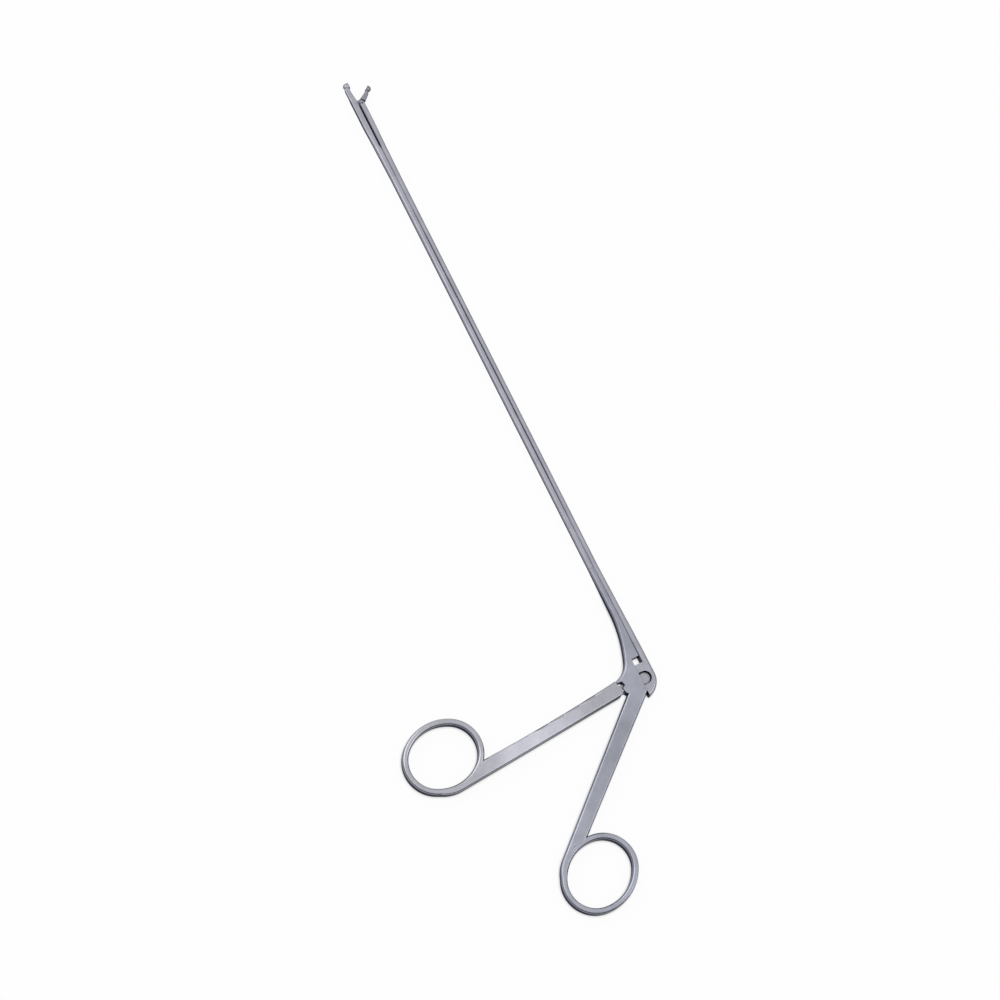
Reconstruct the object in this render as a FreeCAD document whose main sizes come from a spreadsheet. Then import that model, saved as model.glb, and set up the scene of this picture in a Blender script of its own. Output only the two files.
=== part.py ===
import FreeCAD, Part
import Sketcher
import math
import os

# Micro cup forceps with a sliding shaft and finger rings, jaws open.
# The origin is the axis of the main pivot at the resting side, +X runs along the shaft to the cups,
# +Y points to the finger rings and +Z is the thickness. All sizes are in millimetres and degrees.

SIZES = {
    # forged body and handles
    "thickness": 5.0,            # across the flats of body, handles and rings
    "edge_round": 0.9,           # rounding of the long edges
    "sliding_gap": 0.05,         # play between faces that slide on each other
    "parting_line": 7.4,         # height of the face that the slider runs on, above the pivot axis
    "recess_floor": 4.4,         # height of the cheeks' top edge under the slider's rear block
    "recess_front": 8.4,         # where the recess ends and the arm begins
    "heel": 4.4,                 # rear corner of the cheeks and of the slider's block
    "arm_start": 27.0,           # arm and slider thin from here, and the underside swells behind it
    "arm_end": 44.0,             # both have the shaft's section here
    "throat_radius": 48.7,
    "throat_turn": 22.3,
    "crook_radius": 8.1,
    "crook_turn": 75.0,
    "lobe_flat": 0.8,            # blunt end of the lobe beside the front handle
    "lobe_rise": 0.6,
    "nick_depth": 2.0,           # nick between the lobe and the cheeks
    "nick_width": 1.55,
    "nick_wall": 0.35,
    "nick_slope": 0.4,
    "cheek_radius": 2.9,         # round of the cheeks about the pivot, between the handles
    "cheek_front": 84.0,
    "cheek_rear": 134.0,
    "bar_seat": 0.65,            # share of the ring's band that the handle's inner edge reaches into
    "rear_bar_inside": -77.9,    # where the handles' edges meet their rings, from the ring's long axis
    "rear_bar_outside": -125.0,
    "rear_bar_reach": 13.65,     # from the ring's centre to the inner edge, which then rounds the ring
    "rear_bar_blend": 36.0,      # and how far round it goes
    "front_bar_inside": 89.4,
    "front_bar_outside": 140.6,
    "front_bar_reach": 13.43,
    "front_bar_blend": -38.0,
    # lever slot and pivot
    "slot_width": 2.0,
    "slot_play": 0.12,           # room between the moving lever and the ends of its slot
    "tongue_thickness": 1.9,
    "tongue_width": 3.2,
    "tongue_length": 5.5,
    "tongue_lean": 0.4,
    "eye_radius": 2.7,
    "eye_play": 0.3,
    "rivet_radius": 1.1,
    "running_gap": 0.03,         # radial play of pins that turn in a hole
    "lever_lean": 4.9,           # lean of the lever away from +Y when the jaws are open
    "lever_swing": 17.7,         # from open to shut
    "head_distance": 5.87,       # from the pivot to the centre of the driving head
    "head_radius": 2.3,
    "head_bevel": 0.25,
    "neck_width": 2.9,
    "shoulder_x": 3.75,          # front corner of the handle's shoulder beside the lobe
    "shoulder_y": 4.4,
    "shoulder_drop": 2.1,        # from the shoulder to where the handle's front edge begins
    "shoulder_step": 0.31,
    "shoulder_dip": 0.2,
    "shoulder_turn": 15.5,       # from the cheeks' front end to the lowest point of the shoulder
    "root_x": -1.95,             # where the handle's rear edge begins
    "root_y": 4.9,
    "shoulder_gap": 0.14,        # between the handle's root and the cheeks
    "front_edge_radius": 700.0,
    # finger rings, inner half sizes and places
    "ring_half_length": 12.55,
    "ring_half_width": 10.7,
    "ring_end_radius": 9.85,
    "ring_band": 2.15,
    "ring_bevel": 0.53,          # the ring's edges are bevelled, and the bevel's own edges are eased
    "ring_ease": 0.19,
    "front_ring_x": 5.37,
    "front_ring_y": 70.5,
    "front_ring_turn": 96.0,
    "rear_ring_x": -54.24,
    "rear_ring_y": 39.5,
    "rear_ring_turn": 120.0,
    # shaft
    "shaft_width": 2.7,
    "shaft_bottom": 5.47,        # height of the underside of the shaft above the pivot axis
    "shaft_top": 9.26,
    "swell_start": 200.0,        # the shaft grows a little towards the jaws
    "swell_end": 222.0,
    "swell_bottom": 5.07,
    "swell_top": 9.5,
    "guide_end": 212.0,          # the bars part in front of the front guide
    "relief_start": 60.0,        # and between the two guides
    "relief_end": 190.0,
    "relief_ramp": 20.0,
    "step_ramp": 2.0,
    "bar_relief": 0.25,          # how far the lower bar is relieved near the jaws
    "slider_relief": 0.2,        # how far the slider's underside is relieved
    "bar_bevel": 0.2,            # bevel of the long edges that face each other
    "spigot_length": 8.0,        # the shaft's spigot in the arm
    "spigot_height": 1.0,
    "spigot_width": 1.4,
    "braze_gap": 0.02,
    # slider
    "block_front": 5.8,
    "block_top": 9.8,
    "block_crown": 0.6,          # place of the highest point of the rear block
    "block_round": 6.9,
    "block_turn": 76.0,
    "arm_top": 9.34,             # height of the slider's back where it begins to thin
    "notch_play": 0.06,          # room beside the driving head
    "lug_length": 6.0,           # T-shaped guide lugs under the slider
    "lug_neck_width": 0.8,
    "lug_head_width": 1.6,
    "lug_neck_depth": 0.45,
    "lug_head_depth": 0.45,
    "lug_end_play": 0.1,
    "gate_play": 0.3,            # how much longer than its lug a gate in the guide is
    "rear_lug_start": 27.0,
    "front_lug_start": 202.0,
    "nose_length": 0.75,         # metal of the fork in front of the drive pin's axis
    "nose_round": 0.5,
    "nose_drop": 0.22,
    "fork_length": 2.1,
    # jaws
    "jaw_pivot_x": 231.5,
    "jaw_pivot_height": 6.45,
    "jaw_opening": 52.0,
    "drive_radius": 2.0,         # from the jaw's pivot to its drive pin
    "jaw_pin_radius": 0.35,
    "jaw_running_gap": 0.02,
    "drive_pin_length": 2.3,
    "drive_slot_play": 0.05,     # room above and below the drive pin
    "tang_thickness": 0.8,
    "tang_round": 0.62,
    "tang_slot": 0.9,
    "clevis_length": 3.8,
    "clevis_rear": 1.4,          # from the jaw's pivot back to the end of the slot
    "clevis_depth": 0.75,        # from the jaw's pivot down to the floor of the slot
    "clevis_lip": 1.2,           # from the jaw's pivot forward to where the fixed jaw narrows
    "neck_thickness": 1.9,
    "neck_round": 0.45,
    "fixed_neck_start": 3.0,     # stations of the fixed jaw's neck, in front of the pivot
    "fixed_neck_end": 5.75,
    "fixed_neck_drop": 0.12,
    "fixed_neck_waist": 0.38,
    "cup_reach": 7.13,           # from the jaw's pivot to the centre of the closed cups
    "cup_radius": 1.2,
    "cup_wall": 0.27,
    "cup_rim": 0.78,             # height of the fixed cup's rim above the jaw's pivot
    "cup_depth": 0.94,           # straight part of the fixed cup's wall
    "upper_cup_depth": 0.52,
    "rim_gap": 0.05,
    "blade_start": 2.4,          # where the upper jaw grows from its tang to full width
    "blade_bottom": 0.7,
    "blade_top": 2.75,
    "blade_shoulder": 5.4,
}


class Size:
    # a number together with the expression that gives it from the sheet's cells

    def __init__(self, number, text):
        self.number = number
        self.text = text

    def __add__(self, other):
        other = as_size(other)
        return Size(self.number + other.number, f"({self.text} + {other.text})")

    def __sub__(self, other):
        other = as_size(other)
        return Size(self.number - other.number, f"({self.text} - {other.text})")

    def __mul__(self, other):
        other = as_size(other)
        return Size(self.number * other.number, f"({self.text} * {other.text})")

    def __truediv__(self, other):
        other = as_size(other)
        return Size(self.number / other.number, f"({self.text} / {other.text})")

    def __neg__(self):
        return Size(-self.number, f"(-1 * {self.text})")

    def __radd__(self, other):
        return as_size(other) + self

    def __rsub__(self, other):
        return as_size(other) - self

    def __rmul__(self, other):
        return as_size(other) * self


def as_size(value):
    return value if isinstance(value, Size) else Size(float(value), f"({float(value)})")


def sine(angle):
    return Size(math.sin(math.radians(angle.number)), f"sin({angle.text})")


def cosine(angle):
    return Size(math.cos(math.radians(angle.number)), f"cos({angle.text})")


def named(alias):
    return Size(SIZES[alias], f"Sizes.{alias}")


doc = FreeCAD.newDocument("micro_cup_forceps")
sheet = doc.addObject("Spreadsheet::Sheet", "Sizes")
for row, (alias, number) in enumerate(SIZES.items(), start=1):
    sheet.set(f"A{row}", alias)
    sheet.set(f"B{row}", str(number))
    sheet.setAlias(f"B{row}", alias)
doc.recompute()


# Tools of the drawing board

def bind(feature, prop, value):
    feature.setExpression(prop, as_size(value).text)


def new_body(name):
    return doc.addObject("PartDesign::Body", name)


def new_sketch(body, name, plane, offset=0.0):
    sketch = body.newObject("Sketcher::SketchObject", name)
    origin_plane = next(item for item in body.Origin.OriginFeatures if item.Role == plane)
    sketch.AttachmentSupport = [(origin_plane, "")]
    sketch.MapMode = "FlatFace"
    bind(sketch, "AttachmentOffset.Base.z", offset)
    return sketch


def arc_middle(start, end, radius):
    # middle of the shorter arc from start to end; a positive radius turns left
    chord = end - start
    half = chord.Length / 2
    height = abs(radius) - math.sqrt(max(radius * radius - half * half, 0.0))
    right = FreeCAD.Vector(chord.y, -chord.x, 0).normalize()
    return (start + end) * 0.5 + right * (height if radius > 0 else -height)


def hold_point(sketch, geometry, end, x, y):
    for kind, value in (("DistanceX", x), ("DistanceY", y)):
        value = as_size(value)
        index = sketch.addConstraint(Sketcher.Constraint(kind, -1, 1, geometry, end, value.number))
        sketch.setExpression(f"Constraints[{index}]", value.text)


def draw_outline(sketch, corners):
    # closed outline: each corner is (x, y), or (x, y, radius) where an arc arrives at it
    corners = [tuple(as_size(value) for value in corner) for corner in corners]
    points = [FreeCAD.Vector(corner[0].number, corner[1].number, 0) for corner in corners]
    ends = []
    for i, corner in enumerate(corners):
        start, end = points[i - 1], points[i]
        if len(corner) == 2:
            index = sketch.addGeometry(Part.LineSegment(start, end), False)
        else:
            radius = corner[2].number
            index = sketch.addGeometry(Part.Arc(start, arc_middle(start, end, radius), end), False)
            held = sketch.addConstraint(Sketcher.Constraint("Radius", index, abs(radius)))
            sketch.setExpression(f"Constraints[{held}]", f"abs({corner[2].text})")
        forward = (sketch.getPoint(index, 1) - start).Length < (sketch.getPoint(index, 1) - end).Length
        ends.append((index, 1, 2) if forward else (index, 2, 1))
    for i, (index, first, last) in enumerate(ends):
        hold_point(sketch, index, last, corners[i][0], corners[i][1])
        follower, begin, _ = ends[(i + 1) % len(ends)]
        sketch.addConstraint(Sketcher.Constraint("Coincident", index, last, follower, begin))


def draw_circle(sketch, x, y, radius):
    x, y, radius = as_size(x), as_size(y), as_size(radius)
    centre = FreeCAD.Vector(x.number, y.number, 0)
    circle = Part.Circle(centre, FreeCAD.Vector(0, 0, 1), radius.number)
    index = sketch.addGeometry(circle, False)
    held = sketch.addConstraint(Sketcher.Constraint("Radius", index, radius.number))
    sketch.setExpression(f"Constraints[{held}]", radius.text)
    hold_point(sketch, index, 3, x, y)


def pad(body, name, length, outlines=(), circle=None):
    # symmetric pad about the middle of the thickness
    sketch = new_sketch(body, f"{name}_outline", "XY_Plane", named("thickness") / 2)
    for outline in outlines:
        draw_outline(sketch, outline)
    if circle:
        draw_circle(sketch, *circle)
    feature = body.newObject("PartDesign::Pad", name)
    feature.Profile = sketch
    feature.SideType = "Symmetric"
    bind(feature, "Length", length)
    return feature


def cut(body, name, width, corners=None, circle=None):
    # symmetric pocket about the middle of the thickness, so that it always meets the solid
    sketch = new_sketch(body, f"{name}_outline", "XY_Plane", named("thickness") / 2)
    if corners:
        draw_outline(sketch, corners)
    if circle:
        draw_circle(sketch, *circle)
    doc.recompute()
    before = body.Shape.Volume
    feature = body.newObject("PartDesign::Pocket", name)
    feature.Profile = sketch
    feature.SideType = "Symmetric"
    bind(feature, "Length", width)
    doc.recompute()
    if body.Shape.Volume >= before:
        raise RuntimeError(f"{name} cuts nothing")
    return feature


def round_edges(body, name, radius, wanted, chamfer=False):
    # rounds the edges of the finished body that the test picks out
    doc.recompute()
    tip = body.Tip
    names = [f"Edge{i}" for i, edge in enumerate(tip.Shape.Edges, start=1) if wanted(edge)]
    if not names:
        raise RuntimeError(f"{name} found no edge")
    feature = body.newObject("PartDesign::Chamfer" if chamfer else "PartDesign::Fillet", name)
    feature.Base = (tip, names)
    bind(feature, "Size" if chamfer else "Radius", radius)
    doc.recompute()
    return feature


def middle(edge):
    return edge.valueAt((edge.FirstParameter + edge.LastParameter) / 2)


def flat_at(edge, z):
    # the whole edge lies at one height
    return abs(edge.BoundBox.ZMin - z) < 1e-3 and abs(edge.BoundBox.ZMax - z) < 1e-3


def near_line(point, start, end):
    # distance of a point from a line through two places in the plan
    along = FreeCAD.Vector(end[0] - start[0], end[1] - start[1], 0).normalize()
    across = FreeCAD.Vector(point.x - start[0], point.y - start[1], 0)
    return (across - along * across.dot(along)).Length


def join(name, pieces):
    fused = doc.addObject("Part::MultiFuse", name)
    fused.Shapes = pieces
    fused.Label = name
    return fused


def subtract(name, base, tools):
    result = doc.addObject("Part::Cut", name)
    result.Base = base
    result.Tool = tools[0] if len(tools) == 1 else join(f"{name}_tools", tools)
    result.Label = name
    return result


def box(name, low, high):
    # block between two corners
    low = [as_size(value) for value in low]
    high = [as_size(value) for value in high]
    block = doc.addObject("Part::Box", name)
    for prop, axis, start, end in zip(("Length", "Width", "Height"), "xyz", low, high):
        bind(block, prop, end - start)
        bind(block, f"Placement.Base.{axis}", start)
    return block


def pin(name, radius, length, x, y):
    # round pin across the thickness, centred in it
    cylinder = doc.addObject("Part::Cylinder", name)
    bind(cylinder, "Radius", radius)
    bind(cylinder, "Height", length)
    bind(cylinder, "Placement.Base.x", x)
    bind(cylinder, "Placement.Base.y", y)
    bind(cylinder, "Placement.Base.z", half - length / 2)
    cylinder.Label = name
    return cylinder


# Values that several pieces share

thickness = named("thickness")
half = thickness / 2
edge_round = named("edge_round")
gap = named("sliding_gap")
parting = -named("parting_line")
slider_face = parting - gap
recess = -named("recess_floor")
heel = -named("heel")
bottom, swell_bottom = -named("shaft_bottom"), -named("swell_bottom")
top, swell_top = -named("shaft_top"), -named("swell_top")
arm_start, arm_end = named("arm_start"), named("arm_end")
shaft_width = named("shaft_width")
jaw_x, jaw_y = named("jaw_pivot_x"), -named("jaw_pivot_height")
half_opening = named("jaw_opening") / 2
drive_x = jaw_x - named("drive_radius") * sine(half_opening)
drive_low = jaw_y - named("drive_radius") * cosine(half_opening)
drive_high = jaw_y - named("drive_radius")
travel = 2 * named("drive_radius") * sine(half_opening)
head_x = named("head_distance") * sine(named("lever_lean"))
head_y = -named("head_distance") * cosine(named("lever_lean"))
shut_angle = named("lever_lean") + named("lever_swing")
shut_head_x = named("head_distance") * sine(shut_angle)
shut_head_y = -named("head_distance") * cosine(shut_angle)


# Sections across the shaft, for the pieces that run along it

def bar_section(body, name, x, face, back, width, rounding=edge_round):
    # section across X: bevelled towards the face that meets the other bar, rounded on the back
    bevel = named("bar_bevel")
    outward = 1 if back.number > face.number else -1
    sketch = new_sketch(body, name, "YZ_Plane", x)
    low, high = half - width / 2, half + width / 2
    draw_outline(sketch, [
        (face + outward * bevel, low),
        (back - outward * rounding, low),
        (back, low + rounding, outward * rounding),
        (back, high - rounding),
        (back - outward * rounding, high, outward * rounding),
        (face + outward * bevel, high),
        (face, high - bevel),
        (face, low + bevel),
    ])
    return sketch


def bar(body, name, sections):
    # bar through its sections, straight from one to the next
    for i, (near, far) in enumerate(zip(sections, sections[1:])):
        first = bar_section(body, f"{name}_section_{i}a", *near)
        second = bar_section(body, f"{name}_section_{i}b", *far)
        feature = body.newObject("PartDesign::AdditiveLoft", f"{name}_{i}")
        feature.Profile = first
        feature.Sections = [second]
        feature.Ruled = True


def between(start, end, x_start, x_end, x):
    # value at x on the straight run from one station to another
    return start + (end - start) * (x - x_start) / (x_end - x_start)


# Guides: a T-shaped lug under the slider, and the slot with its gate in the piece below

def guide_lug(name, start):
    neck_width, head_width = named("lug_neck_width"), named("lug_head_width")
    neck_end = slider_face + named("lug_neck_depth")
    end = start + named("lug_length")
    root = slider_face - named("slider_relief") - named("bar_bevel")
    neck = box(f"{name}_neck", (start, root, half - neck_width / 2), (end, neck_end, half + neck_width / 2))
    head = box(
        f"{name}_head",
        (start, neck_end, half - head_width / 2),
        (end, neck_end + named("lug_head_depth"), half + head_width / 2),
    )
    return [neck, head]


def guide_slot(name, start):
    # the lug drops in through the gate and slides forward under the lips
    play = named("lug_end_play")
    rear, end = start - play, start + named("lug_length") + travel + play
    neck_half = named("lug_neck_width") / 2 + gap
    head_half = named("lug_head_width") / 2 + gap
    lip = slider_face + named("lug_neck_depth") - gap
    floor = lip + named("lug_head_depth") + 2 * gap
    above = slider_face - named("bar_bevel")
    gate_start = rear - named("lug_length") - named("gate_play")
    return [
        box(f"{name}_gate", (gate_start, above, half - head_half), (rear, floor, half + head_half)),
        box(f"{name}_neck_way", (rear, above, half - neck_half), (end, floor, half + neck_half)),
        box(f"{name}_head_way", (rear, lip, half - head_half), (end, floor, half + head_half)),
    ]


# Finger rings: an oval of four arcs with rounded edges

def oval(grow):
    # corners of the inner oval, grown outwards by the given amount
    long, wide = named("ring_half_length"), named("ring_half_width")
    end = named("ring_end_radius")
    reach = long - end
    side = (reach * reach + wide * wide - end * end) / (2 * (wide - end))
    joint_x = reach + (end + grow) * reach / (side - end)
    joint_y = (end + grow) * (side - wide) / (side - end)
    return [
        (joint_x, joint_y, end + grow),
        (-joint_x, joint_y, side + grow),
        (-joint_x, -joint_y, end + grow),
        (joint_x, -joint_y, side + grow),
    ]


def finger_ring(name, x, y, turn):
    body = new_body(name)
    pad(body, f"{name}_band", thickness, [oval(named("ring_band")), oval(as_size(0))])
    flat = lambda edge: edge.BoundBox.ZLength < 1e-3
    round_edges(body, f"{name}_bevel", named("ring_bevel"), flat, True)
    round_edges(body, f"{name}_ease", named("ring_ease"), flat, True)
    bind(body, "Placement.Base.x", x)
    bind(body, "Placement.Base.y", y)
    body.Placement.Rotation = FreeCAD.Rotation(FreeCAD.Vector(0, 0, 1), turn.number)
    bind(body, "Placement.Rotation.Angle", turn)
    return body


def ring_entry(ring, inside, outside, reach, blend):
    # the handle's inner edge touches an arc about the ring and follows it into the band,
    # and its outer edge ends in the middle of the band
    x, y, turn = ring
    middle_band = (named("ring_half_length") + named("ring_half_width") + named("ring_band")) / 2
    inner_band = named("ring_half_width") + named("ring_band") * named("bar_seat")

    def around(distance, angle):
        return (x + distance * cosine(turn + angle), y + distance * sine(turn + angle))

    arc = reach if blend.number > 0 else -reach
    touch, merge = around(reach, inside), around(reach, inside + blend)
    return touch, [
        touch,
        (*merge, arc),
        around(inner_band, inside + blend),
        around(inner_band, inside),
        around(middle_band, (inside + outside) / 2),
        around(middle_band, outside),
    ]


def plain(corner):
    return (corner[0].number, corner[1].number)


def on_side(edge, start, end):
    # a straight edge of the plan, on either flat
    flat = flat_at(edge, 0) or flat_at(edge, SIZES["thickness"])
    return flat and near_line(middle(edge), plain(start), plain(end)) < 1e-3


# Forged body: arm, cheeks, rear handle and its ring in one piece

def make_handle_body():
    body = new_body("body_forging")
    throat, crook = named("throat_radius"), named("crook_radius")
    throat_turn, crook_turn = named("throat_turn"), named("crook_turn")
    throat_x = arm_start - throat * sine(throat_turn)
    throat_y = throat * (1 - cosine(throat_turn)) + bottom
    lobe_x = throat_x - crook * (sine(crook_turn) - sine(throat_turn))
    lobe_y = throat_y + crook * (cosine(throat_turn) - cosine(crook_turn))
    lobe_end_x, lobe_end_y = lobe_x - named("lobe_flat"), lobe_y + named("lobe_rise")
    nick_x, nick_y = lobe_end_x - named("nick_wall"), lobe_end_y - named("nick_depth")
    cheek, front, rear = named("cheek_radius"), named("cheek_front"), named("cheek_rear")
    crotch = (cheek * cosine(rear), cheek * sine(rear))
    ring = (named("rear_ring_x"), named("rear_ring_y"), named("rear_ring_turn"))
    reach = named("rear_bar_reach")
    inner_end, entry = ring_entry(
        ring, named("rear_bar_inside"), named("rear_bar_outside"), reach, named("rear_bar_blend"),
    )
    outer_end = entry[-1]
    arm_corner, arm_root = (named("recess_front"), parting), (arm_start, parting)
    pad(body, "body_slab", thickness, [[
        (named("recess_front"), recess),
        arm_corner,
        arm_root,
        (arm_start, bottom),
        (throat_x, throat_y, -throat),
        (lobe_x, lobe_y, -crook),
        (lobe_end_x, lobe_end_y),
        (nick_x, nick_y),
        (nick_x - named("nick_width"), nick_y - named("nick_slope")),
        (cheek * cosine(front), cheek * sine(front)),
        (crotch[0], crotch[1], cheek),
        *entry,
        (heel, recess),
    ]])

    def long_edge(edge):
        if on_side(edge, crotch, inner_end) or on_side(edge, outer_end, (heel, recess)):
            return edge.Length > named("rear_ring_y").number
        spot = middle(edge)
        in_throat = spot.x > lobe_x.number and spot.y > bottom.number
        round_edge = edge.BoundBox.ZLength < 1e-3 and edge.Curve.TypeId == "Part::GeomCircle"
        return round_edge and (in_throat or abs(edge.Curve.Radius - reach.number) < 1e-6)

    round_edges(body, "body_round", edge_round, long_edge)
    round_edges(body, "parting_bevel", named("bar_bevel"), lambda e: on_side(e, arm_corner, arm_root), True)
    bar(body, "arm", [
        (arm_start, parting, bottom, thickness),
        (arm_end, parting, bottom, shaft_width),
    ])

    # slot for the lever, open towards the slider's block and between the handles
    play, head = named("slot_play"), named("head_radius")
    slot_width = named("slot_width")
    eye_room = named("eye_radius") + named("eye_play")
    channel_rear, channel_front = head_x - head - play, shut_head_x + head + play
    channel_floor = shut_head_y + head + play
    mouth = recess - play
    cut(body, "eye_room", slot_width, circle=(0, 0, eye_room))
    cut(body, "head_room", slot_width, [
        (channel_rear, mouth),
        (channel_front, mouth),
        (channel_front, channel_floor),
        (eye_room * cosine(named("lever_swing")), -eye_room * sine(named("lever_swing"))),
        (channel_rear, 0),
    ])
    tongue_front = named("tongue_width") / 2 + named("tongue_lean") + play
    swing = named("lever_swing")
    tongue_rear = named("tongue_width") / 2
    swept_x = tongue_rear * cosine(swing) + eye_room * sine(swing) + play
    cut(body, "tongue_room", slot_width, [
        (-eye_room, 0),
        (tongue_front, 0),
        (tongue_front, eye_room + play),
        (-swept_x, eye_room + play),
    ])
    cut(body, "pivot_hole", thickness, circle=(0, 0, named("rivet_radius")))

    loose = named("braze_gap")
    socket_middle = (parting + bottom) / 2
    socket = box(
        "spigot_socket",
        (
            arm_end - named("spigot_length") - loose,
            socket_middle - named("spigot_height") / 2 - loose,
            half - named("spigot_width") / 2 - loose,
        ),
        (
            arm_end + loose,
            socket_middle + named("spigot_height") / 2 + loose,
            half + named("spigot_width") / 2 + loose,
        ),
    )
    rear_ring = finger_ring("rear_ring", *ring)
    forged = join("forged_body", [body, rear_ring])
    return subtract("handle_body", forged, [socket] + guide_slot("rear_guide", named("rear_lug_start")))


# Cups: a round bowl turned about its own Y axis, and the hollow inside it

def turned_bowl(name, radius, depth, mouth):
    # mouth is +1 for a bowl that opens towards +Y, and -1 for one that opens towards -Y
    body = new_body(name)
    sketch = new_sketch(body, f"{name}_profile", "XY_Plane", half)
    rim = mouth * depth
    draw_outline(sketch, [
        (0, rim),
        (radius, rim),
        (radius, 0),
        (0, -mouth * radius, -mouth * radius),
    ])
    feature = body.newObject("PartDesign::Revolution", f"{name}_turn")
    feature.Profile = sketch
    feature.ReferenceAxis = (sketch, ["V_Axis"])
    feature.Angle = 360
    return body


def cup(name, x, y, depth, mouth):
    radius = named("cup_radius")
    shell = turned_bowl(f"{name}_shell", radius, depth, mouth)
    hollow = turned_bowl(f"{name}_hollow", radius - named("cup_wall"), depth + named("cup_wall"), mouth)
    for body in (shell, hollow):
        bind(body, "Placement.Base.x", x)
        bind(body, "Placement.Base.y", y)
    return shell, hollow


# Fixed shaft: the lower bar, with the clevis and the fixed cup at its end

def make_fixed_shaft():
    body = new_body("shaft_bar")
    swell_start, swell_end = named("swell_start"), named("swell_end")
    guide_end = named("guide_end")
    relieved = parting + named("bar_relief")

    def underside(x):
        return between(bottom, swell_bottom, swell_start, swell_end, x)

    step_end = guide_end + named("step_ramp")
    lip_x = jaw_x + named("clevis_lip")
    neck_start, neck_end = jaw_x + named("fixed_neck_start"), jaw_x + named("fixed_neck_end")
    neck_top = relieved + named("fixed_neck_drop")
    neck, neck_round = named("neck_thickness"), named("neck_round")
    cup_x = jaw_x + named("cup_reach")
    cup_y = jaw_y - named("cup_rim") + named("cup_depth")
    cup_wall_x = cup_x - named("cup_radius") + named("cup_wall") * 2
    bar(body, "lower_bar", [
        (arm_end, parting, bottom, shaft_width),
        (swell_start, parting, bottom, shaft_width),
        (guide_end, parting, underside(guide_end), shaft_width),
        (step_end, relieved, underside(step_end), shaft_width),
        (swell_end, relieved, swell_bottom, shaft_width, neck_round),
        (lip_x, relieved, swell_bottom, shaft_width, neck_round),
        (neck_start, neck_top, swell_bottom, neck, neck_round),
        (neck_end, relieved + named("fixed_neck_waist"), swell_bottom, neck, neck_round),
        (cup_wall_x, relieved + named("fixed_neck_waist"), cup_y + neck / 2, neck, neck_round),
    ])
    cut(body, "jaw_pin_hole", thickness, circle=(jaw_x, jaw_y, named("jaw_pin_radius")))
    shell, hollow = cup("fixed_cup", cup_x, cup_y, named("cup_depth"), -1)
    spigot_middle = (parting + bottom) / 2
    spigot = box(
        "spigot",
        (
            arm_end - named("spigot_length"),
            spigot_middle - named("spigot_height") / 2,
            half - named("spigot_width") / 2,
        ),
        (
            arm_end + named("spigot_length") / 2,
            spigot_middle + named("spigot_height") / 2,
            half + named("spigot_width") / 2,
        ),
    )
    slot_start = jaw_x - named("clevis_rear")
    slot_half = named("tang_slot") / 2
    clevis = box(
        "clevis_slot",
        (slot_start, slider_face, half - slot_half),
        (slot_start + named("clevis_length"), jaw_y + named("clevis_depth"), half + slot_half),
    )
    whole = join("shaft_whole", [body, spigot, shell])
    tools = [hollow, clevis] + guide_slot("front_guide", named("front_lug_start"))
    return subtract("fixed_shaft", whole, tools)


# Slider: the upper bar, driven by the lever's head in its rear block

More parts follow.
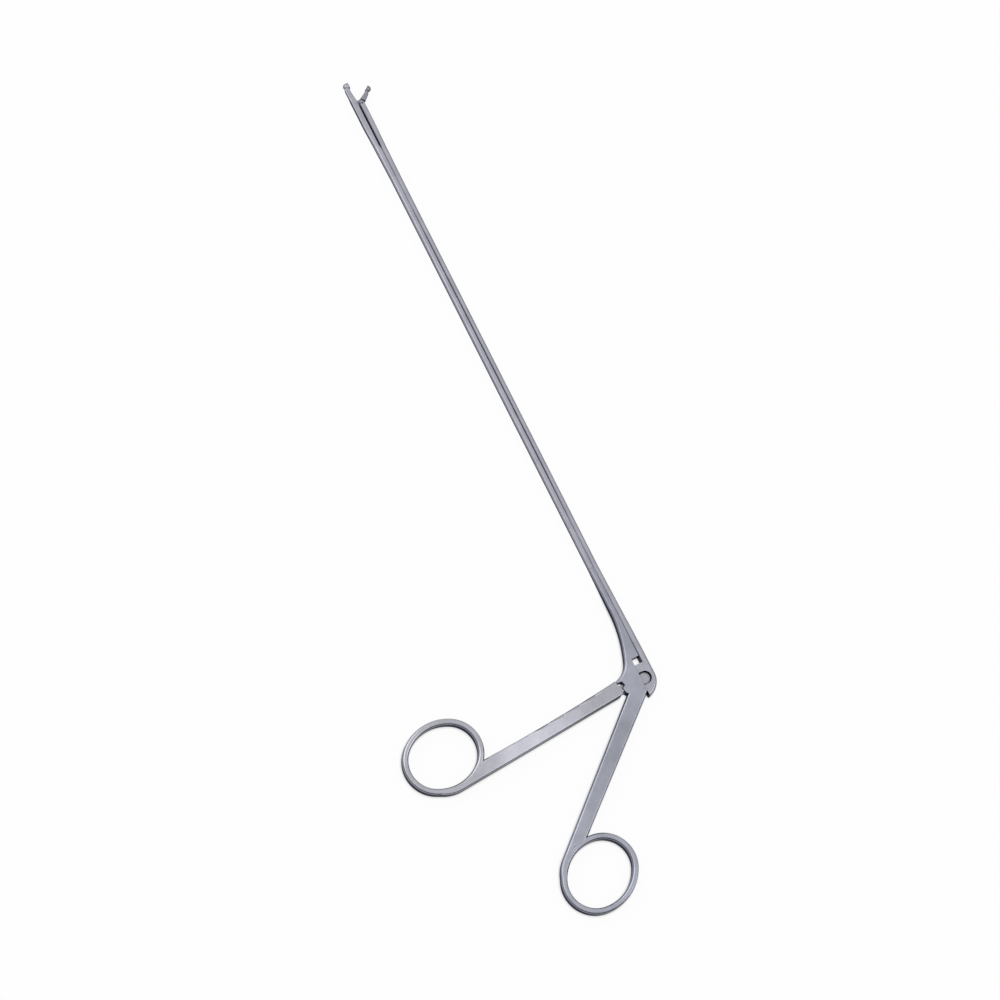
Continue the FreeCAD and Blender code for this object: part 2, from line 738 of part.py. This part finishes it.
def make_slider():
    body = new_body("slider_bar")
    crown, block_top = named("block_crown"), -named("block_top")
    arm_top = -named("arm_top")
    run, fall = arm_start - crown, arm_top - block_top
    crown_radius = (run * run + fall * fall) / (2 * fall)
    turn, rear_round = named("block_turn"), named("block_round")
    rear_x = crown - rear_round * sine(turn)
    rear_y = block_top + rear_round * (1 - cosine(turn))
    foot = recess - gap
    notch = named("head_radius") + named("notch_play")
    front_foot = (named("block_front"), slider_face)
    arm_root = (arm_start, slider_face)
    pad(body, "block", thickness, [[
        (named("block_front"), foot),
        front_foot,
        arm_root,
        (arm_start, arm_top),
        (crown, block_top, -crown_radius),
        (rear_x, rear_y, -rear_round),
        (heel, foot),
        (head_x - notch, foot),
        (head_x - notch, head_y),
        (head_x, head_y - notch, notch),
        (head_x + notch, head_y, notch),
        (head_x + notch, foot),
    ]])

    def back_edge(edge):
        spot = middle(edge)
        outside = spot.y < arm_top.number or spot.x < heel.number
        return edge.BoundBox.ZLength < 1e-3 and outside and edge.Curve.TypeId == "Part::GeomCircle"

    round_edges(body, "block_round_edges", edge_round, back_edge)
    round_edges(body, "block_bevel", named("bar_bevel"), lambda e: on_side(e, front_foot, arm_root), True)

    relieved = slider_face - named("slider_relief")
    relief_start, relief_end = named("relief_start"), named("relief_end")
    ramp, step = named("relief_ramp"), named("step_ramp")
    swell_start, swell_end = named("swell_start"), named("swell_end")
    guide_end = named("guide_end")

    def back(x):
        return between(top, swell_top, swell_start, swell_end, x)

    nose, nose_round, nose_drop = drive_x + named("nose_length"), named("nose_round"), named("nose_drop")
    bar(body, "upper_bar", [
        (arm_start, slider_face, arm_top, thickness),
        (arm_end, slider_face, top, shaft_width),
        (relief_start, slider_face, top, shaft_width),
        (relief_start + ramp, relieved, top, shaft_width),
        (relief_end - ramp, relieved, top, shaft_width),
        (relief_end, slider_face, top, shaft_width),
        (swell_start, slider_face, top, shaft_width),
        (guide_end, slider_face, back(guide_end), shaft_width),
        (guide_end + step, relieved, back(guide_end + step), shaft_width),
        (swell_end, relieved, swell_top, shaft_width, named("neck_round")),
        (nose - nose_round, relieved, swell_top, shaft_width, named("neck_round")),
        (nose, relieved - nose_drop, swell_top + nose_drop, shaft_width, named("neck_round")),
    ])
    pin_room = named("jaw_pin_radius") + named("running_gap")
    slot_top = drive_high - named("drive_slot_play")
    slot_bottom = drive_low + named("drive_slot_play")
    cut(body, "drive_slot", thickness, [
        (drive_x - pin_room, slot_top),
        (drive_x, slot_top - pin_room, pin_room),
        (drive_x + pin_room, slot_top, pin_room),
        (drive_x + pin_room, slot_bottom),
        (drive_x, slot_bottom + pin_room, pin_room),
        (drive_x - pin_room, slot_bottom, pin_room),
    ])
    lugs = guide_lug("rear_lug", named("rear_lug_start")) + guide_lug("front_lug", named("front_lug_start"))
    slot_half = named("tang_slot") / 2
    fork = box(
        "fork_slot",
        (nose - named("fork_length"), -named("block_top"), half - slot_half),
        (nose + named("fork_length"), jaw_y, half + slot_half),
    )
    return subtract("slider", join("slider_whole", [body] + lugs), [fork])


# Front handle: the lever, with its ring, tongue and driving head

def make_front_handle():
    body = new_body("lever_forging")
    ring = (named("front_ring_x"), named("front_ring_y"), named("front_ring_turn"))
    rear_end, entry = ring_entry(
        ring, named("front_bar_inside"), named("front_bar_outside"), named("front_bar_reach"),
        named("front_bar_blend"),
    )
    shoulder_x, shoulder_y = named("shoulder_x"), named("shoulder_y")
    root = (named("root_x"), named("root_y"))
    front_start = (shoulder_x - named("shoulder_step"), shoulder_y + named("shoulder_drop"))
    root_reach = named("cheek_radius") + named("shoulder_gap")
    root_angle = named("cheek_front") + named("shoulder_turn")
    pad(body, "lever_bar", thickness, [[
        (shoulder_x, shoulder_y),
        (shoulder_x / 2, shoulder_y - named("shoulder_dip")),
        (root_reach * cosine(root_angle), root_reach * sine(root_angle)),
        root,
        *entry,
        (front_start[0], front_start[1], named("front_edge_radius")),
    ]])


    def long_edge(edge):
        on_rear = on_side(edge, root, rear_end)
        on_front = edge.BoundBox.ZLength < 1e-3 and edge.Curve.TypeId == "Part::GeomCircle"
        return on_rear or on_front

    round_edges(body, "lever_round", edge_round, long_edge)
    tongue = named("tongue_thickness")
    pad(body, "eye", tongue, circle=(0, 0, named("eye_radius")))
    tongue_half, lean = named("tongue_width") / 2, named("tongue_lean")
    pad(body, "tongue", tongue, [[
        (-tongue_half, 0),
        (tongue_half, 0),
        (tongue_half + lean, named("tongue_length")),
        (lean - tongue_half, named("tongue_length")),
    ]])
    neck_x = named("neck_width") / 2 * cosine(named("lever_lean"))
    neck_y = named("neck_width") / 2 * sine(named("lever_lean"))
    pad(body, "lever_neck", tongue, [[
        (-neck_x, -neck_y),
        (head_x - neck_x, head_y - neck_y),
        (head_x + neck_x, head_y + neck_y),
        (neck_x, neck_y),
    ]])
    pad(body, "driving_head", tongue, circle=(head_x, head_y, named("head_radius")))
    doc.recompute()

    def head_edge(edge):
        round_edge = edge.BoundBox.ZLength < 1e-3 and edge.Curve.TypeId == "Part::GeomCircle"
        return round_edge and abs(edge.Curve.Radius - SIZES["head_radius"]) < 1e-6

    round_edges(body, "head_bevel_edges", named("head_bevel"), head_edge, True)
    cut(body, "lever_hole", thickness, circle=(0, 0, named("rivet_radius") + named("running_gap")))
    return join("front_handle", [body, finger_ring("front_ring", *ring)])


# Upper jaw: drawn shut about its own pivot, then swung open

def make_cup_jaw():
    body = new_body("jaw_blade")
    round_end, tang = named("tang_round"), named("tang_thickness")
    pin_x, pin_y = named("drive_radius") * sine(half_opening), -named("drive_radius") * cosine(half_opening)
    start, blade_bottom = named("blade_start"), -named("blade_bottom")
    blade_top = -named("blade_top")
    cup_x, depth = named("cup_reach"), named("upper_cup_depth")
    rim = -(named("cup_rim") + named("rim_gap"))
    cup_y = rim - depth
    cup_wall_x = cup_x - named("cup_radius") + named("cup_wall") * 2
    overlap = named("tang_round")
    cross_x = round_end * cosine(half_opening)
    cross_y = round_end * sine(half_opening)
    pad(body, "pivot_lobe", tang, circle=(0, 0, round_end))
    pad(body, "drive_lobe", tang, circle=(pin_x, pin_y, round_end))
    pad(body, "tang", tang, [[
        (-cross_x, -cross_y),
        (pin_x - cross_x, pin_y - cross_y),
        (pin_x, pin_y - round_end),
        (start + overlap, pin_y - round_end),
        (start + overlap, blade_bottom),
        (start, blade_bottom),
        (cross_x / 2, cross_x),
    ]])
    neck = named("neck_thickness")
    blade = [
        (start, blade_bottom),
        (start, blade_top),
        (named("blade_shoulder"), blade_top + named("cup_wall")),
        (cup_wall_x, cup_y - named("cup_radius") / 2),
        (cup_wall_x, cup_y + named("upper_cup_depth") / 2),
    ]
    pad(body, "blade", neck, [blade])

    def blade_edge(edge):
        flat = edge.BoundBox.ZLength < 1e-3
        wide = abs(edge.BoundBox.ZMin - (half - neck / 2).number) < 1e-3
        wide = wide or abs(edge.BoundBox.ZMin - (half + neck / 2).number) < 1e-3
        return flat and wide

    round_edges(body, "blade_round", named("neck_round"), blade_edge)
    cut(body, "jaw_pivot_hole", thickness, circle=(0, 0, named("jaw_pin_radius") + named("jaw_running_gap")))
    cut(body, "drive_pin_hole", thickness, circle=(pin_x, pin_y, named("jaw_pin_radius")))
    shell, hollow = cup("upper_cup", cup_x, cup_y, depth, 1)
    jaw = subtract("cup_jaw", join("jaw_whole", [body, shell]), [hollow])
    bind(jaw, "Placement.Base.x", jaw_x)
    bind(jaw, "Placement.Base.y", jaw_y)
    jaw.Placement.Rotation = FreeCAD.Rotation(FreeCAD.Vector(0, 0, 1), -SIZES["jaw_opening"])
    bind(jaw, "Placement.Rotation.Angle", -named("jaw_opening"))
    return jaw


sub_parts = [
    make_handle_body(),
    make_fixed_shaft(),
    make_slider(),
    make_front_handle(),
    make_cup_jaw(),
    pin("pivot_rivet", named("rivet_radius"), thickness, as_size(0), as_size(0)),
    pin("jaw_pivot_pin", named("jaw_pin_radius"), shaft_width, jaw_x, jaw_y),
    pin("jaw_drive_pin", named("jaw_pin_radius"), named("drive_pin_length"), drive_x, drive_low),
]
doc.recompute()

for item in doc.Objects:
    if "Invalid" in item.State or "Error" in item.State:
        raise RuntimeError(f"{item.Name} failed: {item.State}")
for item in sub_parts:
    if item.Shape.isNull() or not item.Shape.isValid():
        raise RuntimeError(f"{item.Label} has no valid shape")

os.makedirs("parts", exist_ok=True)
for item in sub_parts:
    item.Shape.exportStep(f"parts/{item.Label}.step")
    print(f"{item.Label}: {len(item.Shape.Solids)} solid, {item.Shape.Volume:.2f} mm3")
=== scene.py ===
import math
import bmesh
import bpy
from mathutils import Matrix, Vector

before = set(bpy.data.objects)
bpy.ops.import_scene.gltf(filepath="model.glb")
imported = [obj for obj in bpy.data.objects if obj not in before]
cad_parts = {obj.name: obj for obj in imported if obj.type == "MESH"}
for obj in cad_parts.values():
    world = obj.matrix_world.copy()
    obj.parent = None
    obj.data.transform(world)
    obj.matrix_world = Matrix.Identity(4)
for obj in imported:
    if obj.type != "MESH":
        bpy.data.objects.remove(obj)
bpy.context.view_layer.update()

mm = 0.001


def linear(hexColour):
    # sRGB hex to the linear values that sockets hold
    values = []
    for i in (1, 3, 5):
        c = int(hexColour[i:i + 2], 16) / 255
        values.append(c / 12.92 if c <= 0.04045 else ((c + 0.055) / 1.055) ** 2.4)
    return (*values, 1.0)


def addNode(tree, kind, settings=None, inputs=()):
    # settings are the node's own fields; inputs go by socket, or in a list in the sockets' order
    # an input is a plain value, a node for its first output, or (node, output)
    node = tree.nodes.new(kind)
    for field, value in (settings or {}).items():
        setattr(node, field, value)
    pairs = inputs.items() if isinstance(inputs, dict) else enumerate(inputs)
    for socket, value in pairs:
        if isinstance(value, bpy.types.Node):
            value = (value, 0)
        if isinstance(value, tuple) and isinstance(value[0], bpy.types.Node):
            tree.links.new(value[0].outputs[value[1]], node.inputs[socket])
        else:
            node.inputs[socket].default_value = value
    return node


def newMaterial(name):
    material = bpy.data.materials.new(name)
    material.use_nodes = True
    material.node_tree.nodes.clear()
    return material, material.node_tree


# Camera: looks down on the flat instrument, tilted a little towards the handles
camera = {
    "target": (78.76, 11.99, 5.0),            # mm, what lies at the picture's centre
    "towards": (-0.1683, 0.2183, 0.9613),     # from the target to the camera
    "up": (0.8805, -0.4050, 0.2462),          # what points up in the picture
    "distance": 1600.0,                       # mm
    "lens": 164.57,                           # mm, long, so that far and near look the same size
    "sensor": 36.0,                           # mm
    "clip": (0.05, 20.0),                     # m
}


def makeCamera():
    back = Vector(camera["towards"]).normalized()
    up = Vector(camera["up"])
    up = (up - back * up.dot(back)).normalized()
    data = bpy.data.cameras.new("photoCamera")
    data.lens = camera["lens"]
    data.sensor_width = camera["sensor"]
    data.clip_start, data.clip_end = camera["clip"]
    seat = bpy.data.objects.new("photoCamera", data)
    bpy.context.collection.objects.link(seat)
    turn = Matrix((up.cross(back), up, back)).transposed().to_4x4()
    place = Vector(camera["target"]) * mm + back * camera["distance"] * mm
    seat.matrix_world = Matrix.Translation(place) @ turn
    bpy.context.scene.camera = seat


makeCamera()
bpy.context.scene.view_settings.view_transform = "Standard"
print("camera placed")


def coordinates(tree, sizes=(1, 1, 1), turn=0.0):
    # the part's own frame, counted in mm or in cells of the given sizes in mm, turned about the upright
    here = addNode(tree, "ShaderNodeTexCoord")
    return addNode(tree, "ShaderNodeMapping", {"vector_type": "TEXTURE"}, {
        "Vector": (here, "Object"), "Rotation": (0, 0, math.radians(turn)),
        "Scale": tuple(size * mm for size in sizes),
    })


# What every steel finish shares
steel = {
    "detail": 3.0,
    "grainCrispness": 0.6,        # how strong the grain's finest specks are
    "cloudRange": (0.35, 0.65),   # the noise between these is stretched over the whole change
    "grainRange": (0.3, 0.7),
    "sideRange": (0.1, 0.7),      # how far a face looks up: at 0.1 it gets all the painted side shade, from 0.7 it is a flat
    "bevelRange": (0.7, 0.95),    # the same for where a flat's gloss gives way to a bevel's
    "bumpDepth": 0.02,            # mm
    "seamSamples": 4,
    "hubSeam": (9.0, 16.0),       # mm along the shaft, where the painted shade in the hub's joints ends
    "jawSeam": (196.0, 224.0),    # mm, where it sets in again before the jaws
}
# Colour mixing: in both, socket 0 is the share, 6 and 7 are the colours and output 2 is the result
blend = {"data_type": "RGBA"}
times = {"data_type": "RGBA", "blend_type": "MULTIPLY"}


def paintedSpotLevel(tree, spots):
    # painted highlight or painted shade round a point; spots are (x, y, inner, outer, shade), in mm
    flat = addNode(tree, "ShaderNodeVectorMath", {"operation": "MULTIPLY"}, [coordinates(tree), (1, 1, 0)])
    level = 1.0
    for x, y, inner, outer, shade in spots:
        away = addNode(tree, "ShaderNodeVectorMath", {"operation": "DISTANCE"}, [flat, (x, y, 0)])
        spot = addNode(tree, "ShaderNodeMapRange", None, [(away, "Value"), inner, outer, shade, 1.0])
        level = addNode(tree, "ShaderNodeMath", {"operation": "MULTIPLY"}, [level, spot])
    return level


def seamShade(tree, finish):
    # painted shade darkens the joints and hollows at the hub and at the jaws, and painted light brightens
    # them along the shaft between
    dark, bright = finish["seamPaintedShade"], finish["seamPaintedLight"]
    place = addNode(tree, "ShaderNodeSeparateXYZ", None, [coordinates(tree)])
    hub = addNode(tree, "ShaderNodeMapRange", None, [(place, "X"), *steel["hubSeam"], dark, bright])
    tip = addNode(tree, "ShaderNodeMapRange", None, [(place, "X"), *steel["jawSeam"], bright, dark])
    return addNode(tree, "ShaderNodeMath", {"operation": "MINIMUM"}, [hub, tip])


def steelColour(tree, finish, grain, upward):
    # a cloudy tint with a grain, then painted light and shade: brighter or duller spots, darker sides, and
    # darker or brighter joints and hollows
    cloud = addNode(tree, "ShaderNodeTexNoise", None, {
        "Vector": coordinates(tree, (finish["cloud"],) * 3), "Scale": 1.0, "Detail": steel["detail"],
    })
    share = addNode(tree, "ShaderNodeMapRange", None, [cloud, *steel["cloudRange"], 0.0, 1.0])
    colour = addNode(tree, "ShaderNodeMix", blend, {
        0: share, 6: linear(finish["dark"]), 7: linear(finish["light"]),
    })
    speck = addNode(tree, "ShaderNodeMapRange", None, [
        grain, *steel["grainRange"], 1.0 - finish["speck"], 1.0 + finish["speck"],
    ])
    colour = addNode(tree, "ShaderNodeMix", times, {0: 1.0, 6: (colour, 2), 7: speck})
    # painted highlight and painted shade round given points
    if finish["paintedSpots"]:
        spotShading = paintedSpotLevel(tree, finish["paintedSpots"])
        colour = addNode(tree, "ShaderNodeMix", times, {0: 1.0, 6: (colour, 2), 7: spotShading})
    # painted shade: faces turned sideways are given the darker side grey
    side = addNode(tree, "ShaderNodeMapRange", None, [upward, *steel["sideRange"], 1.0, 0.0])
    colour = addNode(tree, "ShaderNodeMix", blend, {0: side, 6: (colour, 2), 7: linear(finish["side"])})
    # painted shade and painted light where another part or the floor is close: joints, hollows and the feet
    # of the walls
    hollow = addNode(tree, "ShaderNodeAmbientOcclusion", {"samples": steel["seamSamples"]}, {
        "Distance": finish["seam"] * mm,
    })
    seam = addNode(tree, "ShaderNodeMapRange", None, [
        (hollow, "AO"), *finish["seamRange"], seamShade(tree, finish), 1.0,
    ])
    return addNode(tree, "ShaderNodeMix", times, {0: 1.0, 6: (colour, 2), 7: seam})


def makeSteel(name, finish):
    # the grain goes into colour, gloss and bump; how far a face looks up tells flats from sides
    material, tree = newMaterial(name)
    grain = addNode(tree, "ShaderNodeTexNoise", None, {
        "Vector": coordinates(tree, finish["grain"], finish["turn"]), "Scale": 1.0,
        "Detail": steel["detail"], "Roughness": steel["grainCrispness"],
    })
    here = addNode(tree, "ShaderNodeTexCoord")
    facing = addNode(tree, "ShaderNodeSeparateXYZ", None, [(here, "Normal")])
    upward = addNode(tree, "ShaderNodeMath", {"operation": "ABSOLUTE"}, [(facing, "Z")])
    satin = addNode(tree, "ShaderNodeMapRange", None, [grain, *steel["grainRange"], *finish["rough"]])
    bevel = addNode(tree, "ShaderNodeMapRange", None, [upward, *steel["bevelRange"], 1.0, 0.0])
    rough = addNode(tree, "ShaderNodeMapRange", None, [bevel, 0.0, 1.0, satin, finish["edgeRough"]])
    bump = addNode(tree, "ShaderNodeBump", None, {
        "Strength": finish["bump"], "Distance": steel["bumpDepth"] * mm, "Height": grain,
    })
    shader = addNode(tree, "ShaderNodeBsdfPrincipled", None, {
        "Base Color": (steelColour(tree, finish, grain, upward), 2), "Metallic": 1.0,
        "Roughness": rough, "Normal": bump, "Specular Tint": linear(finish["grazing"]),
    })
    addNode(tree, "ShaderNodeOutputMaterial", None, [shader])
    return material


# Bead-blasted stainless steel on the forged body: an even matt grey without direction; only the sides
# and bevels are smoother, so they mirror the dim horizon and outline the flats
forged = {
    "dark": "#999BA6", "light": "#A3A5B0",
    # painted shade: the darker grey given to the side walls
    "side": "#74767E",
    # painted highlight round the pivot and round the rear ring
    "paintedSpots": ((0.0, 0.0, 6.0, 14.0, 1.17), (-54.24, 39.5, 15.0, 36.0, 1.2)),
    "cloud": 6.0,                # mm, size of the cloudiness
    "grain": (0.3, 0.3, 0.3),    # mm, drawn coarser than the real 0.05 mm so that it shows
    "turn": 0.0,                 # degrees, how the grain lies against the shaft
    "speck": 0.06,               # how much the grain changes the colour
    "seam": 1.0,                 # mm, how far the shade of a joint reaches
    "seamRange": (0.3, 0.85),
    "seamPaintedShade": 0.12,            # painted shade: what the colour in a joint or hollow is multiplied by
    "seamPaintedLight": 1.9,           # painted light: the same along the shaft, where joints and hollows are brightened
    "rough": (0.36, 0.46),
    "edgeRough": 0.18,
    "grazing": "#7E7E84",        # dulls what the sides would mirror at a glancing view
    "bump": 0.25,
}
# Stainless steel brushed along the lever's bar: a brighter satin whose lighter grey is partly a painted
# highlight, with painted shade round the pivot and the ring
lever = dict(
    forged, dark="#CECFD9", light="#D9DAE3", grain=(0.25, 2.0, 0.25), turn=6.0, rough=(0.3, 0.42),
    paintedSpots=((0.0, 0.0, 11.0, 36.0, 0.64), (5.37, 70.5, 14.5, 24.0, 0.72)),
)
# Stainless bars ground lengthwise: fine lines run along the shaft and stretch what it mirrors
bars = dict(
    forged, dark="#A8A9B4", light="#B2B3BD", paintedSpots=(), grain=(4.0, 0.12, 0.12), speck=0.08,
    rough=(0.3, 0.42), edgeRough=0.32,
)
# Honed stainless jaws: smoother than the body, with sharper highlights on the small cups; their darker grey
# is partly painted shade
jaws = dict(
    forged, dark="#92949F", light="#A4A6B0", paintedSpots=(), grain=(0.12, 0.12, 0.12), seam=0.5, rough=(0.25, 0.35),
)
# Turned stainless rod, ground flush: the pins' ends are a little darker and smoother than the bars
pins = dict(jaws, dark="#9DA2AA", light="#A9ADB4", rough=(0.26, 0.36))

finishes = {
    "handle_body": ("blastedSteel", forged),
    "front_handle": ("brushedSteel", lever),
    "fixed_shaft": ("groundBarSteel", bars),
    "slider": ("groundBarSteel", bars),
    "cup_jaw": ("honedSteel", jaws),
    "pivot_rivet": ("blastedSteel", forged),
    "jaw_pivot_pin": ("pinSteel", pins),
    "jaw_drive_pin": ("pinSteel", pins),
}
materials = {}
for nodeName, (name, finish) in finishes.items():
    if name not in materials:
        materials[name] = makeSteel(name, finish)
    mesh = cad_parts[nodeName].data
    mesh.materials.clear()
    mesh.materials.append(materials[name])
print("steel finishes applied")

# Floor: pale matt card, whitened where the camera or a reflection sees it; it keeps the object's shadow
floor = {
    "size": 6.0,                 # m
    "drop": 0.1,                 # mm below the steel, so that the two faces don't fight
    "colour": "#F2F3F4",
    "whitening": 0.95,           # share of plain white in what is seen of it
    "contact": 1.0,              # mm, how far from the steel the contact shadow reaches
    "contactRange": (0.3, 0.95),
    "contactSamples": 8,
    "contactShade": 0.6,
}


def makeFloor():
    mesh = bmesh.new()
    bmesh.ops.create_grid(mesh, x_segments=1, y_segments=1, size=floor["size"] / 2)
    data = bpy.data.meshes.new("floor")
    mesh.to_mesh(data)
    mesh.free()
    plane = bpy.data.objects.new("floor", data)
    plane.location.z = -floor["drop"] * mm
    bpy.context.collection.objects.link(plane)
    material, tree = newMaterial("paleFloor")
    diffuse = addNode(tree, "ShaderNodeBsdfDiffuse", None, {"Color": linear(floor["colour"])})
    touch = addNode(tree, "ShaderNodeAmbientOcclusion", {"samples": floor["contactSamples"]}, {
        "Distance": floor["contact"] * mm,
    })
    shade = addNode(tree, "ShaderNodeMapRange", None, [
        (touch, "AO"), *floor["contactRange"], floor["contactShade"], 1.0,
    ])
    glow = addNode(tree, "ShaderNodeEmission", None, {"Color": (1, 1, 1, 1), "Strength": shade})
    rays = addNode(tree, "ShaderNodeLightPath")
    seen = (rays, "Is Camera Ray")
    for ray in ("Is Glossy Ray", "Is Transmission Ray"):
        seen = addNode(tree, "ShaderNodeMath", {"operation": "MAXIMUM"}, [seen, (rays, ray)])
    share = addNode(tree, "ShaderNodeMath", {"operation": "MULTIPLY"}, [seen, floor["whitening"]])
    mixed = addNode(tree, "ShaderNodeMixShader", None, [share, diffuse, glow])
    addNode(tree, "ShaderNodeOutputMaterial", None, [mixed])
    data.materials.append(material)


makeFloor()

# Light: a broad soft lamp from the top left of the picture and a weaker one from its right, in m and W
lamps = {
    "keyLamp": {"direction": (0.66, 0.46, 0.84), "distance": 2.0, "size": 1.6, "power": 9.0},
    "fillLamp": {"direction": (-0.6, -0.8, 1.1), "distance": 2.0, "size": 1.2, "power": 4.0},
}
# World: a pale dome, bright overhead for the flats and dim at the horizon, which the sides mirror;
# dimAt and brightAt are cosines of the angle from its brightest point
dome = {"towards": (0.25, 0.0, 0.97), "dimAt": 0.0, "brightAt": 0.68, "dim": 0.08, "bright": 1.07}


def makeLamps():
    centre = Vector(camera["target"]) * mm
    for name, lamp in lamps.items():
        data = bpy.data.lights.new(name, "AREA")
        data.shape = "DISK"
        data.size = lamp["size"]
        data.energy = lamp["power"]
        seat = bpy.data.objects.new(name, data)
        away = Vector(lamp["direction"]).normalized()
        seat.location = centre + away * lamp["distance"]
        seat.rotation_euler = away.to_track_quat("Z", "Y").to_euler()
        bpy.context.collection.objects.link(seat)


def makeWorld():
    world = bpy.data.worlds.new("studio")
    bpy.context.scene.world = world
    world.use_nodes = True
    tree = world.node_tree
    tree.nodes.clear()
    sky = addNode(tree, "ShaderNodeTexCoord")
    facing = addNode(tree, "ShaderNodeVectorMath", {"operation": "DOT_PRODUCT"}, [
        (sky, "Generated"), tuple(Vector(dome["towards"]).normalized()),
    ])
    level = addNode(tree, "ShaderNodeMapRange", {"interpolation_type": "SMOOTHSTEP"}, [
        (facing, "Value"), dome["dimAt"], dome["brightAt"], dome["dim"], dome["bright"],
    ])
    background = addNode(tree, "ShaderNodeBackground", None, {"Strength": level})
    addNode(tree, "ShaderNodeOutputWorld", None, [background])


makeLamps()
makeWorld()
print("light and floor placed")
